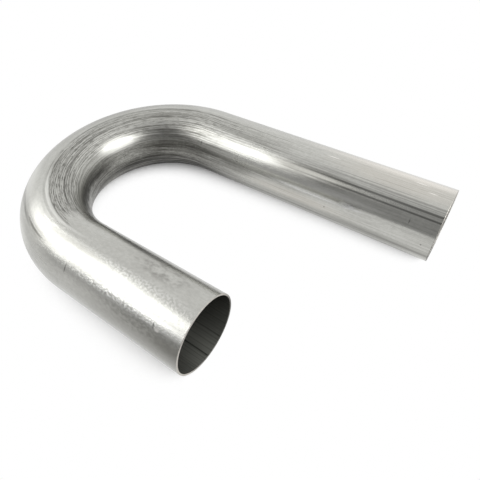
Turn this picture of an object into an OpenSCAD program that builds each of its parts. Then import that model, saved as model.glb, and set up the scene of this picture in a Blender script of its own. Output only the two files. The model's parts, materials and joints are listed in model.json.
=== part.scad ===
// Return bend: one length of welded steel tube, bent through half a circle over
// a mandrel, with a short and a long straight leg and square-cut ends.
// It lies flat on the plane z = 0, with both legs running along +X from the bend.

/* [Tube] */
// Outside diameter of the tube
tube_od = 63.5; // [40:0.5:90]
// Thickness of the tube's wall
tube_wall = 1.5; // [1.2:0.1:3]

/* [Bend] */
// Radius of the bend, to the middle of the tube
bend_radius = 95.25; // [70:0.25:160]

/* [Legs] */
// Straight length of the short leg, from the bend to its cut end
short_leg = 127; // [40:0.5:250]
// Straight length of the long leg, from the bend to its cut end
long_leg = 228.6; // [40:0.1:400]

/* [Cut ends] */
// Width of the corner that deburring takes off the cut, outside and inside
deburr = 0.3; // [0.1:0.05:0.5]

/* [Weld seam] */
// Width of the rolled weld bead along the wall inside the tube
bead_width = 3; // [1:0.1:6]
// Height of that bead above the wall, along its middle
bead_height = 0.15; // [0.05:0.01:0.2]

/* [Hidden] */
$fn = 128;

tube_r = tube_od / 2;
bore_r = tube_r - tube_wall;

// The bend sweeps half a turn, from the long leg at +Y round to the short leg at -Y
bend_start = 90;
bend_angle = 180;
long_side = 1;
short_side = -1;

// The origin lies under the middle of the part's box
box_back = -bend_radius - tube_r;
box_front = max(short_leg, long_leg);
box_middle = (box_back + box_front) / 2;

// How far a cut runs past the faces that it opens
over = 1;

// The bore is round, apart from the flat top of the weld bead along its lowest line.
// The seam lies there because the wall on that line neither stretches nor shrinks in the bend.
module bore_section() {
    difference() {
        circle(r = bore_r);
        translate([-bead_width / 2, -tube_r])
            square([bead_width, tube_wall + bead_height]);
    }
}

module tube_section() {
    difference() {
        circle(r = tube_r);
        bore_section();
    }
}

// Takes the sharp corners off a cut end that faces +Z at z = 0, at 45 degrees
module deburr_cut() {
    low = -deburr - over;
    rotate_extrude() {
        polygon([[tube_r + over, low], [tube_r + over, over], [tube_r + low, over]]);
        polygon([[bore_r - over, low], [bore_r - over, over], [bore_r - low, over]]);
    }
}

module leg(leg_length, side) {
    translate([0, side * bend_radius, 0])
        rotate([90, 0, 90])
            difference() {
                linear_extrude(leg_length) tube_section();
                translate([0, 0, leg_length]) deburr_cut();
            }
}

module half_turn() {
    rotate_extrude(angle = bend_angle, start = bend_start)
        translate([bend_radius, 0]) tube_section();
}

module bent_tube() {
    color("silver")
        translate([-box_middle, 0, tube_r])
            union() {
                leg(long_leg, long_side);
                half_turn();
                leg(short_leg, short_side);
            }
}

bent_tube();
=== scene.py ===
import json
from math import atan2, hypot, pi, radians

import bmesh
import bpy
from mathutils import Matrix, Vector


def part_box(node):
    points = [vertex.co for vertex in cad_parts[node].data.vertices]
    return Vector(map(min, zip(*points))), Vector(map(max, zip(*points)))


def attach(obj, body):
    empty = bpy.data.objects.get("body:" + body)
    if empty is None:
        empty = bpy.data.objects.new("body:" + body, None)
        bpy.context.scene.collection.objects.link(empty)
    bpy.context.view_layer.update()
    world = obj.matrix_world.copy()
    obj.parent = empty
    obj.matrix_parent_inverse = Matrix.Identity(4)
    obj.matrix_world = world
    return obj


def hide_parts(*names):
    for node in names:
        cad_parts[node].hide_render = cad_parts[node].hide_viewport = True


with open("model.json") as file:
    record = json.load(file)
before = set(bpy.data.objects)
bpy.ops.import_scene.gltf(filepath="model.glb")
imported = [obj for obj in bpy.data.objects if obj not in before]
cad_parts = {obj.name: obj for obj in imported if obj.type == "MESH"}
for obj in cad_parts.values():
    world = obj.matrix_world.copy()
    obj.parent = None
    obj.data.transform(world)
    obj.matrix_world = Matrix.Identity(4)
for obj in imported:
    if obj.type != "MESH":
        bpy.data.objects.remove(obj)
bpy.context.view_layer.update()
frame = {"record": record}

# The return bend is one length of thin welded steel tube, pulled half a turn round a former
# over a mandrel, then cut square at both ends and deburred. The weld bead inside was rolled
# nearly flat, and it lies along the lowest line, where the wall neither stretches nor shrinks.
MM = 0.001
mounts = {mount["name"]: mount for mount in frame["record"]["mounts"]}
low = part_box("bent_tube")[0]
tube_r = mounts["long_end_outside"]["dims"]["r_mm"] * MM
bore_r = mounts["long_end_bore"]["dims"]["r_mm"] * MM
mid_wall_r = (tube_r + bore_r) / 2
bend_r = mounts["long_end_outside"]["pos_m"][1]
bend_x = low.x + tube_r + bend_r
short_x = mounts["short_end_face"]["pos_m"][0]
long_x = mounts["long_end_face"]["pos_m"][0]
deburr = long_x - mounts["long_end_outside"]["pos_m"][0]
short_leg = short_x - bend_x
long_leg = long_x - bend_x
bend_end = short_leg + pi * bend_r
tube_length = bend_end + long_leg
bead_width = 3 * MM
bead_height = 0.15 * MM
sides = 144
bend_steps = 96
leg_step = 8 * MM
corner_angle = radians(30)
shading_split = radians(15)

tube = bmesh.new()
short_end_plane = Matrix.Translation((short_x, -bend_r, tube_r)) @ Matrix.Rotation(pi / 2, 4, "Y")
for radius in (tube_r, bore_r):
    bmesh.ops.create_circle(tube, segments=sides, radius=radius, matrix=short_end_plane)
for vert in tube.verts:
    over_bead = abs(vert.co.y + bend_r) < bead_width / 2 and vert.co.z < tube_r
    if over_bead and vert.co.z > tube_r - mid_wall_r:
        vert.co.z = tube_r - bore_r + bead_height
bmesh.ops.bridge_loops(tube, edges=tube.edges[:])


def push_along(faces, length):
    """Draws the tube's section out along X in even steps, and returns the section at the far end."""
    steps = max(1, round(abs(length) / leg_step))
    for _ in range(steps):
        pushed = bmesh.ops.extrude_face_region(tube, geom=faces)["geom"]
        verts = [item for item in pushed if isinstance(item, bmesh.types.BMVert)]
        bmesh.ops.translate(tube, verts=verts, vec=(length / steps, 0, 0))
        faces = [item for item in pushed if isinstance(item, bmesh.types.BMFace)]
    return faces


section = push_along(tube.faces[:], -short_leg)
turned = bmesh.ops.spin(
    tube, geom=section, cent=(bend_x, 0, tube_r), axis=(0, 0, 1), angle=-pi, steps=bend_steps
)["geom_last"]
section = [item for item in turned if isinstance(item, bmesh.types.BMFace)]
push_along(section, long_leg)
bmesh.ops.recalc_face_normals(tube, faces=tube.faces[:])
cut_corners = [edge for edge in tube.edges if edge.calc_face_angle(0) > corner_angle]
bmesh.ops.bevel(
    tube, geom=cut_corners, offset=deburr, segments=2, profile=0.5, affect="EDGES", material=-1
)


def place_on_tube(point):
    """Length from the short end, angle from the outward side up over the top, and radius."""
    back = bend_x - point.x
    if back > 0:
        along = short_leg + bend_r * atan2(back, -point.y)
        across = hypot(back, point.y) - bend_r
    else:
        along = short_leg + back if point.y < 0 else bend_end - back
        across = abs(point.y) - bend_r
    rise = point.z - tube_r
    angle = atan2(rise, across)
    if angle < -pi / 2:
        angle += 2 * pi
    return along, angle, hypot(across, rise)


# The map lays the tube out flat, in metres along it and around its outside.
OUTSIDE, INSIDE, CUT_END = range(3)
tube_map = tube.loops.layers.uv.new("along_around")
for face in tube.faces:
    face.smooth = True
    along, face_angle, radius = place_on_tube(face.calc_center_median())
    face.material_index = OUTSIDE if radius > mid_wall_r else INSIDE
    if along < deburr or along > tube_length - deburr:
        face.material_index = CUT_END
    for loop in face.loops:
        along, angle, radius = place_on_tube(loop.vert.co)
        angle -= 2 * pi * round((angle - face_angle) / (2 * pi))
        loop[tube_map].uv = (along, angle * tube_r)

tube_mesh = bpy.data.meshes.new("bent_tube_skin")
tube.to_mesh(tube_mesh)
tube.free()
tube_mesh.set_sharp_from_angle(angle=shading_split)
tube_skin = bpy.data.objects.new("bent_tube_skin", tube_mesh)
bpy.context.scene.collection.objects.link(tube_skin)


def linear(hex_colour):
    """An sRGB hex colour as linear red, green, blue and alpha."""
    channels = [int(hex_colour[i:i + 2], 16) / 255 for i in (1, 3, 5)]
    return [c / 12.92 if c <= 0.04045 else ((c + 0.055) / 1.055) ** 2.4 for c in channels] + [1]


def add_node(tree, kind, inputs, **settings):
    """Adds one shader node with its settings, and sets its inputs or links them to nodes or sockets."""
    node = tree.nodes.new("ShaderNode" + kind)
    for name, value in settings.items():
        setattr(node, name, value)
    for name, value in inputs.items():
        if isinstance(value, bpy.types.Node):
            value = value.outputs[0]
        if isinstance(value, bpy.types.NodeSocket):
            tree.links.new(value, node.inputs[name])
        else:
            node.inputs[name].default_value = value
    return node


def join_metal(tree, colour, roughness, bump):
    """Makes a material's shader a metal with this colour, roughness and bump."""
    shader = tree.nodes["Principled BSDF"]
    shader.inputs["Metallic"].default_value = 1
    tree.links.new(colour.outputs[0], shader.inputs["Base Color"])
    tree.links.new(roughness.outputs[0], shader.inputs["Roughness"])
    tree.links.new(bump.outputs[0], shader.inputs["Normal"])


# Cold-rolled stainless steel in its mill finish, a satin mirror. The dies scored it along the tube
# and burnished it dull round the inside of the bend, and the clamp left grain on the short leg, whose
# highlight has painted glints. Real lines and grain are some 0.2 mm wide and are drawn 0.7 to 2 mm
# wide, to show.
mill_steel = bpy.data.materials.new("mill_finish_stainless_steel")
mill_steel.use_nodes = True
tree = mill_steel.node_tree
place = add_node(tree, "UVMap", {}, uv_map="along_around")
place_axes = add_node(tree, "SeparateXYZ", {"Vector": place})
along_tube, around_tube = place_axes.outputs["X"], place_axes.outputs["Y"]

# Each pattern's length along the tube and width around it are in millimetres.
patterns = {}
for name, length, width, detail in (
    ("scored_lines", 240, 1.5, 3),
    ("line_breaks", 30, 3, 4),
    ("burnished_bands", 75, 4.5, 5),
    ("band_breaks", 32, 9, 6),
    ("dashes", 10, 0.7, 4),
    ("fine_lines", 110, 0.8, 3),
    ("grain", 1.9, 1.5, 3),
    ("speckle", 3.4, 2.4, 4),
    ("smears", 11, 7, 5),
    ("clouds", 46, 20, 5),
):
    stretched = add_node(
        tree, "Mapping", {"Vector": place, "Scale": (1 / (length * MM), 1 / (width * MM), 1)}
    )
    patterns[name] = add_node(
        tree, "TexNoise", {"Vector": stretched, "Scale": 1, "Detail": detail, "Roughness": 0.6}
    )

# Each zone grows smoothly from nothing at its first place, or level of a pattern, to full at its
# second. Where the bend starts and ends, the zones sway to and fro, so that they end raggedly. A
# degree is the length of one degree around the outside, because the map is in metres.
degree = tube_r * radians(1)
sway_reach = 18 * MM
sway = add_node(
    tree, "MapRange",
    {
        "Value": patterns["band_breaks"], "From Min": 0.3, "From Max": 0.7,
        "To Min": -sway_reach, "To Max": sway_reach,
    },
)
ragged_along = add_node(tree, "Math", {0: along_tube, 1: sway}, operation="ADD")
zones = {}
for name, axis, start, end in (
    ("in_bend", ragged_along, short_leg, short_leg + 35 * MM),
    ("not_past_bend", ragged_along, bend_end + 75 * MM, bend_end - 20 * MM),
    ("deep_in_bend", ragged_along, short_leg + 20 * MM, short_leg + 130 * MM),
    ("bend_start", along_tube, short_leg + 200 * MM, short_leg + 70 * MM),
    ("lines_fading", ragged_along, bend_end + 130 * MM, bend_end - 20 * MM),
    ("glow_fading", along_tube, bend_end + 170 * MM, bend_end),
    ("toward_end", along_tube, short_leg + 10 * MM, 0),
    ("on_short_leg", along_tube, short_leg + 40 * MM, short_leg - 10 * MM),
    ("on_long_leg", along_tube, bend_end - 60 * MM, bend_end + 20 * MM),
    ("over_crown", around_tube, 80 * degree, 94 * degree),
    ("inner_side", around_tube, 144 * degree, 168 * degree),
    ("above_belly", around_tube, 280 * degree, 252 * degree),
    ("below_lines", around_tube, 182 * degree, 142 * degree),
    ("on_clamped_side", around_tube, 91 * degree, 71 * degree),
    ("above_dashes", around_tube, 91 * degree, 96 * degree),
    ("below_dashes", around_tube, 124 * degree, 114 * degree),
    ("above_flecks", around_tube, 84 * degree, 92 * degree),
    ("below_flecks", around_tube, 150 * degree, 132 * degree),
    # Where the lower front of the short leg is painted darker toward its end.
    ("above_rub", around_tube, -28 * degree, 20 * degree),
    ("below_rub", around_tube, 42 * degree, 30 * degree),
    ("dark_line", patterns["scored_lines"], 0.46, 0.6),
    ("light_line", patterns["scored_lines"], 0.5, 0.32),
    ("line_shows", patterns["line_breaks"], 0.32, 0.6),
    ("dark_band", patterns["burnished_bands"], 0.4, 0.6),
    ("band_shows", patterns["band_breaks"], 0.3, 0.58),
    ("dash", patterns["dashes"], 0.5, 0.6),
    ("fine_line", patterns["fine_lines"], 0.46, 0.58),
    ("pit", patterns["grain"], 0.48, 0.72),
    ("glint", patterns["grain"], 0.36, 0.62),
    ("mottle", patterns["speckle"], 0.35, 0.66),
    ("smear", patterns["smears"], 0.4, 0.68),
    ("cloud", patterns["clouds"], 0.35, 0.66),
):
    zones[name] = add_node(
        tree, "MapRange", {"Value": axis, "From Min": start, "From Max": end},
        interpolation_type="SMOOTHSTEP",
    )

# Single marks: the place along the tube in millimetres and around it in degrees, the half length
# and half width in millimetres, and the share of that, from its middle, where the mark is full.
for name, full, spots in (
    ("die_line", 0.5, ((655, 127.7, 165, 1.2), (655, 136, 145, 0.9), (297, 90, 58, 0.6))),
    ("faint_line", 0.4, ((655, 117, 150, 1.1), (600, 112, 60, 0.6), (655, 121, 90, 0.5))),
    ("under_line", 0.2, ((535, 203, 105, 2.6), (630, 197.5, 80, 2.6))),
    # Painted reflection: dark lines below the highlight where the short leg meets the bend.
    ("outer_line", 0.2, ((158, 53.5, 20, 1.6), (184, 49, 24, 1.9), (200, 44, 15, 2.0))),
    (
        "tick", 0.4,
        (
            (113, 39.4, 0.8, 4.8), (24, 42, 0.7, 3.0), (428, 149.5, 0.7, 3.2),
            (633, 148, 0.5, 2.6), (565, 178, 0.8, 1.0), (647, 176, 0.8, 1.0),
        ),
    ),
    ("smeared_patch", 0.2, ((43, 108, 34, 13),)),
    ("end_smudge", 0, ((4, 26, 34, 9),)),
    ("end_smeared", 0.1, ((36, 31, 60, 9),)),
    # Painted glints along the lower and upper edges of the short leg's highlight.
    ("glint_band", 0.1, ((58, 44.5, 76, 4.8),)),
    ("crumb_band", 0, ((50, 79, 80, 5.6),)),
    ("warm_tint", 0.2, ((615, 96, 85, 15), (535, 181, 75, 8))),
    # Painted shade low on the inside of the bend, where it mirrors the shadowed floor.
    ("belly_haze", 0.2, ((378, 228, 84, 22), (350, 197, 115, 10), (410, 207, 70, 9))),
    # Painted dark reflections on the inside of the bend, between its highlights and at its start.
    ("dark_rub", 0.1, ((374, 144, 30, 9), (172, 158, 46, 10))),
    ("warm_patch", 0, ((625, 71, 135, 12),)),
    # A drawn light streak on the crown of the bend, and a painted highlight on the lower edge of the
    # short leg's highlight by its end.
    ("drawn_streak", 0.3, ((172, 90.5, 72, 2.4), (14, 46.5, 50, 5))),
    # Painted sheen: light patches that spread the glow of highlights and brighten reflections.
    (
        "bright_streak", 0.2,
        (
            (212, 58, 34, 11), (178, 22, 32, 10), (290, 122, 50, 4),
            (460, 121, 40, 3), (577, 152, 52, 3.4),
        ),
    ),
    ("rubbed_bright", 0.5, ((300, 144.5, 38, 9), (472, 138.5, 54, 6.5))),
    ("half_rubbed", 0.2, ((303, 170, 46, 12), (264, 222, 44, 15))),
    ("broken_glow", 0.1, ((425, 139, 50, 10),)),
    # Painted light along the long leg's gap side, lightening the mirrored short leg.
    ("rubbed_strip", 0.3, ((505, 156.5, 84, 5.2),)),
    # Painted light in white along the strip's edge, covering a dark mirrored edge.
    ("strip_edge", 0.35, ((552, 162.9, 54, 2.4), (583, 160.8, 9, 3.4))),
    (
        "scratch", 0.3,
        ((629, 84, 8, 0.6), (556, 92, 9, 0.6), (640, 97, 5, 0.5), (20.5, 39.5, 2.8, 1.7)),
    ),
    # Painted shade over the tail of the left lamp's highlight on the long leg.
    ("scuff", 0.4, ((550, 133, 62, 8), (541, 136.5, 26, 3.2))),
    # Darker patches, partly dull spots in the finish and partly painted shade: they dim the lamps'
    # highlights where these run too far, and mirror the contact shade under the long leg.
    (
        "dull_patch", 0.2,
        (
            (525, 201, 120, 10), (600, 197, 90, 8), (475, 172, 28, 7), (335, 70, 110, 11),
            (118, 75, 60, 3.6), (230, 97, 32, 3.5), (365, 108, 42, 6), (510, 141.5, 26, 3.6),
            (152, 54.5, 46, 6.2),
        ),
    ),
):
    nearest = None
    for along_mark, angle_mark, half_length, half_width in spots:
        from_mark = add_node(
            tree, "Mapping",
            {
                "Vector": place,
                "Location": (along_mark * MM, angle_mark * degree, 0),
                "Scale": (half_length * MM, half_width * MM, 1),
            },
            vector_type="TEXTURE",
        )
        reach = add_node(tree, "VectorMath", {0: from_mark}, operation="LENGTH").outputs["Value"]
        if nearest is not None:
            reach = add_node(tree, "Math", {0: nearest, 1: reach}, operation="MINIMUM")
        nearest = reach
    zones[name] = add_node(
        tree, "MapRange", {"Value": nearest, "From Min": 1, "From Max": full},
        interpolation_type="SMOOTHSTEP",
    )

# The marks lie over the bare steel in this order. Each shows by its strength times all its zones. Some
# of them are painted light or shade, as noted at each.
inner_bend = ("in_bend", "not_past_bend", "inner_side", "above_belly")
scored_bend = ("in_bend", "lines_fading")
colour = linear("#BCBCB7")
amounts = {}
for name, mark_colour, strength, mark_zones in (
    ("dull_clouds", "#8F8E89", 0.22, ("cloud",)),
    ("mottling", "#84837E", 0.18, ("mottle",)),
    ("leg_film", "#7C7B76", 0.1, ("on_short_leg",)),
    ("warm_tint", "#BFBBB3", 0.6, ("warm_tint",)),
    ("leg_lines", "#6B6A66", 0.2, ("on_long_leg", "dark_line", "line_shows")),
    # Painted shade: the short leg's lower front darkened toward its end, where the mirrored floor is
    # dimmer.
    ("clamp_rub", "#7C7B76", 0.75, ("above_rub", "below_rub", "toward_end")),
    # A dark spot low on the short leg by its end.
    ("end_smudge", "#5E5D58", 0.55, ("end_smudge",)),
    ("end_smears", "#4A4945", 0.36, ("end_smeared", "mottle")),
    ("clamp_smears", "#5C5A55", 0.7, ("smeared_patch", "smear")),
    # Partly dull finish, partly painted shade over highlights and under the long leg.
    ("dull_patch", "#7C7B76", 0.5, ("dull_patch",)),
    # Painted shade over the tail of the long leg's highlight.
    ("scuff", "#6E6D68", 0.75, ("scuff",)),
    ("burnish_haze", "#6C6B66", 0.66, (*inner_bend, "deep_in_bend")),
    ("burnish", "#4A4945", 0.9, (*inner_bend, "dark_band", "band_shows")),
    ("half_rubbed", "#B0B0AA", 0.7, ("half_rubbed",)),
    ("inner_mottle", "#4A4945", 0.3, (*inner_bend, "mottle")),
    ("inner_dashes", "#4A4945", 0.6, (*inner_bend, "dash")),
    # Painted shade low on the inside of the bend.
    ("belly_haze", "#353431", 0.85, ("belly_haze",)),
    # Painted dark reflections on the inside of the bend, broken up by the band pattern.
    ("dark_rub", "#3A3936", 0.55, ("dark_rub", "band_shows")),
    ("warm_patch", "#EAE4DB", 0.6, ("warm_patch",)),
    # Painted sheen: light patches that spread the glow of the lamps' highlights.
    ("bright_streak", "#E6E6E1", 0.45, ("bright_streak",)),
    ("light_lines", "#D0CFCA", 0.4, ("in_bend", "over_crown", "light_line", "line_shows")),
    ("crown_flecks", "#55544F", 0.56, (*scored_bend, "above_flecks", "below_flecks", "dash")),
    ("crown_fine_lines", "#66655F", 0.55, (*scored_bend, "above_flecks", "below_lines", "fine_line")),
    (
        "crown_lines", "#4A4945", 0.66,
        (*scored_bend, "over_crown", "below_lines", "dark_line", "line_shows"),
    ),
    ("crown_dashes", "#3E3D3A", 0.5, ("in_bend", "bend_start", "above_dashes", "below_dashes", "dash")),
    # A light streak on the bend's crown and a painted highlight by the short end.
    ("drawn_streak", "#E8E8E3", 0.6, ("drawn_streak",)),
    ("rubbed_bright", "#BCBCB7", 0.75, ("rubbed_bright",)),
    ("broken_glow", "#6C6B66", 0.38, ("broken_glow", "smear")),
    # Painted light over the mirrored short leg on the long leg.
    ("rubbed_strip", "#F0F0EC", 0.36, ("rubbed_strip",)),
    # Painted light in white over a dark mirrored edge.
    ("strip_edge", "#FFFFFF", 0.95, ("strip_edge",)),
    ("under_line", "#5A5A56", 0.5, ("under_line",)),
    # Painted reflection: a dark line below the short leg's highlight.
    ("outer_line", "#5E5D58", 0.6, ("outer_line",)),
    ("die_lines", "#4A4A47", 0.65, ("die_line",)),
    ("faint_lines", "#5A5A56", 0.35, ("faint_line",)),
    ("ticks", "#3E3D3A", 0.6, ("tick",)),
    ("scratches", "#F4F1EC", 0.7, ("scratch",)),
    # Painted glints: pale specks along the lower edge of the short leg's highlight.
    ("glints", "#F4F4F0", 0.75, ("glint_band", "glint")),
    # Fainter painted glints along the highlight's upper edge.
    ("fine_glints", "#F4F4F0", 0.32, ("crumb_band", "glint")),
):
    amount = strength
    for zone in mark_zones:
        amount = add_node(tree, "Math", {0: amount, 1: zones[zone]}, operation="MULTIPLY")
    amounts[name] = amount
    colour = add_node(
        tree, "MixRGB", {"Fac": amount, "Color1": colour, "Color2": linear(mark_colour)}
    )

# Scored, burnished and clamped steel is rougher than the clean long leg.
clean_roughness, worn_roughness, full_wear = 0.16, 0.4, 2
clamp_wear = 0.6
dull_bend = add_node(
    tree, "Math", {0: zones["in_bend"], 1: zones["glow_fading"]}, operation="MULTIPLY"
)
dull_leg = add_node(tree, "Math", {0: zones["on_short_leg"], 1: clamp_wear}, operation="MULTIPLY")
wear = amounts["burnish"]
for more_wear in (
    amounts["crown_lines"], amounts["dull_clouds"], amounts["burnish_haze"], dull_bend, dull_leg,
):
    wear = add_node(tree, "Math", {0: wear, 1: more_wear}, operation="ADD")
roughness = add_node(
    tree, "MapRange",
    {
        "Value": wear, "From Min": 0, "From Max": full_wear,
        "To Min": clean_roughness, "To Max": worn_roughness,
    },
)

grain_depth = 0.03 * MM
score_depth = 0.24 * MM
clamped = add_node(
    tree, "Math", {0: zones["on_short_leg"], 1: zones["on_clamped_side"]}, operation="MULTIPLY"
)
grain_height = add_node(tree, "Math", {0: zones["pit"], 1: clamped}, operation="MULTIPLY")
scored_zone = add_node(
    tree, "Math", {0: zones["in_bend"], 1: zones["lines_fading"]}, operation="MULTIPLY"
)
scored_height = add_node(
    tree, "Math", {0: patterns["scored_lines"], 1: scored_zone}, operation="MULTIPLY"
)
grained = add_node(
    tree, "Bump", {"Height": grain_height, "Distance": grain_depth, "Strength": 1}
)
scored = add_node(
    tree, "Bump",
    {"Height": scored_height, "Distance": score_depth, "Strength": 1, "Normal": grained},
)
join_metal(tree, colour, roughness, scored)

# The same strip inside the bore, never polished: dull grey with the mandrel's fine streaks, drawn
# 1.6 mm wide to show, with painted shade overhead and deep inside, and painted light low down. Along
# the bottom, a painted shadow at the edge of the rolled-down weld bead makes a dark line, with faint
# roll marks to its sides, and painted light makes the lip of the long end's mouth pale.
bore_steel = bpy.data.materials.new("unpolished_stainless_steel")
bore_steel.use_nodes = True
tree = bore_steel.node_tree
streak_length = 150 * MM
streak_width = 1.6 * MM
streak_height = 0.03 * MM
place = add_node(tree, "UVMap", {}, uv_map="along_around")
place_axes = add_node(tree, "SeparateXYZ", {"Vector": place})
along_bore, around_bore = place_axes.outputs["X"], place_axes.outputs["Y"]
stretched = add_node(
    tree, "Mapping", {"Vector": place, "Scale": (1 / streak_length, 1 / streak_width, 1)}
)
streaks = add_node(tree, "TexNoise", {"Vector": stretched, "Scale": 1, "Detail": 3})
from_top = add_node(tree, "Math", {0: around_bore, 1: 90 * degree}, operation="SUBTRACT")
from_top = add_node(tree, "Math", {0: from_top}, operation="ABSOLUTE")
from_long_end = add_node(tree, "Math", {0: tube_length, 1: along_bore}, operation="SUBTRACT")
depth = add_node(tree, "Math", {0: along_bore, 1: from_long_end}, operation="MINIMUM")
# Painted light: the bore lighter toward its bottom.
painted_light_below = add_node(
    tree, "MapRange",
    {"Value": from_top, "From Min": 75.6 * degree, "From Max": 162 * degree},
)
# Painted shade: the bore darker deep inside.
painted_shade_deep_inside = add_node(
    tree, "MapRange", {"Value": depth, "From Min": 8 * MM, "From Max": 70 * MM, "To Max": 0.5}
)
streak_shade = add_node(
    tree, "MapRange", {"Value": streaks, "From Min": 0.4, "From Max": 0.65, "To Max": 0.38},
    interpolation_type="SMOOTHSTEP",
)
# Painted shadow: a dark line along one edge of the weld bead.
bead_edge_painted_shadow = add_node(
    tree, "MapRange",
    {
        "Value": from_top, "From Min": 180 * degree - 0.8 * MM,
        "From Max": 180 * degree - 0.3 * MM, "To Max": 0.8,
    },
    interpolation_type="SMOOTHSTEP",
)
# Painted light: the bore's last two millimetres at the long end's mouth made pale.
painted_light_at_mouth = add_node(
    tree, "MapRange", {"Value": from_long_end, "From Min": 2.4 * MM, "From Max": 1.8 * MM}
)
bore_shades = [
    (painted_light_below, "#9C9D96"), (painted_shade_deep_inside, "#3E3F3A"), (streak_shade, "#3A3B36"),
    (bead_edge_painted_shadow, "#242421"),
]
# Each roll mark: the angle around in degrees, the half width in millimetres, and the strength.
for angle_mark, half_width, strength in ((-83.5, 0.7, 0.35), (-78, 0.6, 0.2), (238, 0.9, 0.28)):
    from_mark = add_node(
        tree, "Math", {0: around_bore, 1: angle_mark * degree}, operation="SUBTRACT"
    )
    from_mark = add_node(tree, "Math", {0: from_mark}, operation="ABSOLUTE")
    roll_mark = add_node(
        tree, "MapRange",
        {"Value": from_mark, "From Min": half_width * MM, "From Max": 0, "To Max": strength},
    )
    bore_shades.append((roll_mark, "#242421"))
bore_shades.append((painted_light_at_mouth, "#E4E2DC"))
colour = linear("#3A3B36")
for amount, shade in bore_shades:
    colour = add_node(tree, "MixRGB", {"Fac": amount, "Color1": colour, "Color2": linear(shade)})
roughness = add_node(
    tree, "MapRange",
    {"Value": streaks, "From Min": 0.3, "From Max": 0.7, "To Min": 0.5, "To Max": 0.62},
)
streaked = add_node(
    tree, "Bump", {"Height": streaks, "Distance": streak_height, "Strength": 1}
)
join_metal(tree, colour, roughness, streaked)

# The bare cut across the wall: bright sawn steel with fine saw lines, its deburred corners rubbed
# smooth, and painted shade makes it darker low down and toward the gap between the legs. The saw
# lines, about 0.3 mm apart, are drawn 0.6 mm apart.
cut_steel = bpy.data.materials.new("sawn_stainless_steel")
cut_steel.use_nodes = True
tree = cut_steel.node_tree
saw_line_length = 6 * MM
saw_line_width = 0.6 * MM
saw_line_depth = 0.03 * MM
end_middle = bend_r + tube_r
rim_shade_reach = 0.85 * tube_r
place = add_node(tree, "TexCoord", {}).outputs["Object"]
stretched = add_node(
    tree, "Mapping",
    {"Vector": place, "Scale": (1 / MM, 1 / saw_line_length, 1 / saw_line_width)},
)
saw_lines = add_node(tree, "TexNoise", {"Vector": stretched, "Scale": 1, "Detail": 2})
place_axes = add_node(tree, "SeparateXYZ", {"Vector": place})
from_middle = add_node(tree, "Math", {0: place_axes.outputs["Y"]}, operation="ABSOLUTE")
from_gap = add_node(tree, "Math", {0: from_middle, 1: place_axes.outputs["Z"]}, operation="ADD")
# Painted shade: the cut face darker low down and toward the gap.
painted_shade_toward_gap = add_node(
    tree, "MapRange",
    {
        "Value": from_gap, "From Min": end_middle, "From Max": end_middle - rim_shade_reach,
        "To Max": 0.85,
    },
)
colour = linear("#CCC8C0")
for amount, shade in ((saw_lines, "#A29E98"), (painted_shade_toward_gap, "#4E4C48")):
    colour = add_node(tree, "MixRGB", {"Fac": amount, "Color1": colour, "Color2": linear(shade)})
roughness = add_node(
    tree, "MapRange",
    {"Value": saw_lines, "From Min": 0.3, "From Max": 0.7, "To Min": 0.3, "To Max": 0.45},
)
sawn = add_node(tree, "Bump", {"Height": saw_lines, "Distance": saw_line_depth, "Strength": 1})
join_metal(tree, colour, roughness, sawn)

for material in (mill_steel, bore_steel, cut_steel):
    tube_mesh.materials.append(material)
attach(tube_skin, "root")
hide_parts("bent_tube")

# The floor is a wide sheet of matt white paper, far larger than the view, so that it also fills
# what the steel mirrors. Looked at or mirrored, it is plain white in the open, and close to the
# tube, which covers it from the light, it keeps the paper's own shade.
floor_radius = 6
floor_mesh = bpy.data.meshes.new("floor")
floor_shape = bmesh.new()
bmesh.ops.create_circle(floor_shape, cap_ends=True, segments=96, radius=floor_radius)
floor_shape.to_mesh(floor_mesh)
floor_shape.free()
floor = bpy.data.objects.new("floor", floor_mesh)
bpy.context.scene.collection.objects.link(floor)
floor_paper = bpy.data.materials.new("white_paper")
floor_paper.use_nodes = True
tree = floor_paper.node_tree
shader = tree.nodes["Principled BSDF"]
shader.inputs["Base Color"].default_value = linear("#FAFAFA")
shader.inputs["Roughness"].default_value = 0.9
shader.inputs["Specular IOR Level"].default_value = 0.1
ray = add_node(tree, "LightPath", {})
looked_at = ray.outputs["Is Camera Ray"]
for kind in ("Is Glossy Ray", "Is Transmission Ray"):
    looked_at = add_node(tree, "Math", {0: looked_at, 1: ray.outputs[kind]}, operation="MAXIMUM")
shade_reach = 0.15
lean_to_light = (0.4, 0.4, 0)
upright = add_node(tree, "NewGeometry", {}).outputs["Normal"]
toward_light = add_node(tree, "VectorMath", {0: upright, 1: lean_to_light}, operation="ADD")
openness = add_node(
    tree, "AmbientOcclusion", {"Distance": shade_reach, "Normal": toward_light}
).outputs["AO"]

# Looked at straight, the shade is wider outside the short end and narrower along the long leg. The
# length from the bend's inner edge times the side step from the middle line, in square metres,
# is well below zero at the one and above zero at the other.
inner_edge = bend_x - 60 * MM
at_short_end, at_long_leg = -0.0266, 0.0156
less_open, more_open = -0.17, 0.15
paper_place = add_node(tree, "TexCoord", {}).outputs["Object"]
paper_axes = add_node(tree, "SeparateXYZ", {"Vector": paper_place})
from_edge = add_node(
    tree, "Math", {0: paper_axes.outputs["X"], 1: inner_edge}, operation="SUBTRACT"
)
slant = add_node(tree, "Math", {0: from_edge, 1: paper_axes.outputs["Y"]}, operation="MULTIPLY")
seen_change = add_node(
    tree, "MapRange",
    {
        "Value": slant, "From Min": at_short_end, "From Max": at_long_leg,
        "To Min": less_open, "To Max": more_open,
    },
)
openness = add_node(
    tree, "Math", {0: seen_change, 1: ray.outputs["Is Camera Ray"], 2: openness},
    operation="MULTIPLY_ADD",
)

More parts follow.
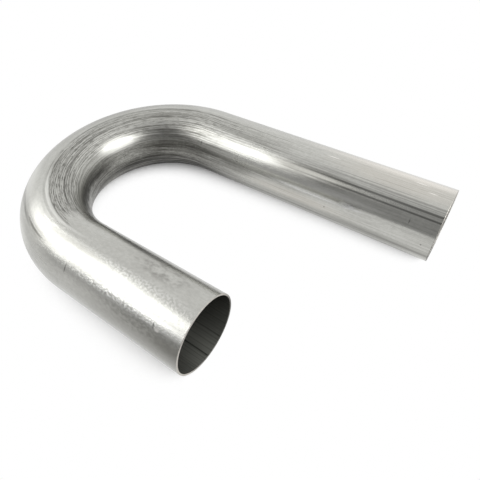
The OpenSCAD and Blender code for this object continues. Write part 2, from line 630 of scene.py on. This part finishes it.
# Inside the bend the steel mirrors the paper a little darker.
crook_edge, crook_middle = 110 * MM, 64 * MM
crook_change = -0.15
from_bend = add_node(
    tree, "VectorMath", {0: paper_place, 1: (bend_x, 0, 0)}, operation="DISTANCE"
).outputs["Value"]
in_crook = add_node(
    tree, "MapRange", {"Value": from_bend, "From Min": crook_edge, "From Max": crook_middle}
)
mirrored_crook = add_node(
    tree, "Math", {0: in_crook, 1: ray.outputs["Is Glossy Ray"]}, operation="MULTIPLY"
)
openness = add_node(
    tree, "Math", {0: mirrored_crook, 1: crook_change, 2: openness}, operation="MULTIPLY_ADD"
)
shaded, in_the_open = 0.14, 0.46
whiteness = add_node(
    tree, "MapRange", {"Value": openness, "From Min": shaded, "From Max": in_the_open}
)
white_share = add_node(tree, "Math", {0: looked_at, 1: whiteness}, operation="MULTIPLY")
plain_white = add_node(tree, "Emission", {"Color": linear("#FFFFFF"), "Strength": 1})
paper = add_node(tree, "MixShader", {0: white_share, 1: shader, 2: plain_white})
tree.links.new(paper.outputs[0], tree.nodes["Material Output"].inputs["Surface"])
floor_mesh.materials.append(floor_paper)


# The studio has a soft lamp to the left and one to the right, and pale walls that are brighter
# behind the tube and dimmer on the camera's side. The steel mirrors that side as a grey band.
def softbox(name, shape, place, turn, width, height, power):
    """A soft lamp at a place in metres, turned in degrees about X, Y and Z from facing down."""
    lamp = bpy.data.lights.new(name, "AREA")
    lamp.shape = shape
    lamp.size = width
    lamp.size_y = height
    lamp.energy = power
    lamp_object = bpy.data.objects.new(name, lamp)
    lamp_object.location = place
    lamp_object.rotation_euler = [radians(angle) for angle in turn]
    lamp_object.visible_camera = False
    bpy.context.scene.collection.objects.link(lamp_object)


softbox(
    "left_softbox", "RECTANGLE", place=(-1.96, -1.25, 1.89), turn=(50.3, -9.8, -49.4),
    width=3.07, height=2.09, power=47.4,
)
softbox(
    "right_softbox", "ELLIPSE", place=(2.29, 0.12, 1.93), turn=(50, 0, 93),
    width=3.0, height=1.8, power=40,
)

# Each stretch of wall: the direction of its middle in degrees, the cosines of the angles from there
# at which it starts and is full, and the light outside and inside it. The two add up.
world = bpy.data.worlds.new("studio")
world.use_nodes = True
bpy.context.scene.world = world
tree = world.node_tree
direction = add_node(tree, "TexCoord", {})
walls = None
for azimuth, elevation, edge, middle, outside, inside in (
    (-70, 18, 0.31, 0.82, 0.84, 0.38),
    (100, 30, 0.1, 0.9, 0, 0.3),
):
    turn = Matrix.Rotation(radians(azimuth), 3, "Z") @ Matrix.Rotation(-radians(elevation), 3, "Y")
    facing = add_node(
        tree, "VectorMath", {0: direction, 1: turn @ Vector((1, 0, 0))}, operation="DOT_PRODUCT"
    ).outputs["Value"]
    wall = add_node(
        tree, "MapRange",
        {
            "Value": facing, "From Min": edge, "From Max": middle,
            "To Min": outside, "To Max": inside,
        },
        interpolation_type="SMOOTHSTEP",
    )
    walls = wall if walls is None else add_node(tree, "Math", {0: walls, 1: wall}, operation="ADD")
background = tree.nodes["Background"]
background.inputs["Color"].default_value = linear("#FFFFFF")
tree.links.new(walls.outputs[0], background.inputs["Strength"])

# The camera stands high at the open side, near the short leg, as in the photograph. The picture was
# cropped off centre, which the small shift repeats. Its place is in tube diameters from the bend's
# middle, its turns are in radians, and its focal length and what it looks at are in picture pixels.
picture_size = 480
focal_length = 440.86
looks_at_x, looks_at_y = 201.68, 208.23
sensor_width = 36
diameter = 2 * tube_r
bend_middle = Vector((bend_x, 0, 0))
yaw, pitch, roll = -0.7144, 0.7656, 0.0985
camera_data = bpy.data.cameras.new("camera")
camera_data.sensor_width = sensor_width
camera_data.lens = focal_length * sensor_width / picture_size
camera_data.shift_x = (picture_size / 2 - looks_at_x) / picture_size
camera_data.shift_y = (looks_at_y - picture_size / 2) / picture_size
camera = bpy.data.objects.new("camera", camera_data)
camera.location = bend_middle + diameter * Vector((3.7259, -3.3473, 4.8464))
camera_turn = Matrix.Rotation(-yaw, 3, "Z") @ Matrix.Rotation(pi / 2 - pitch, 3, "X")
camera.rotation_euler = (camera_turn @ Matrix.Rotation(-roll, 3, "Z")).to_euler()
bpy.context.scene.collection.objects.link(camera)
bpy.context.scene.camera = camera
bpy.context.scene.view_settings.view_transform = "Standard"
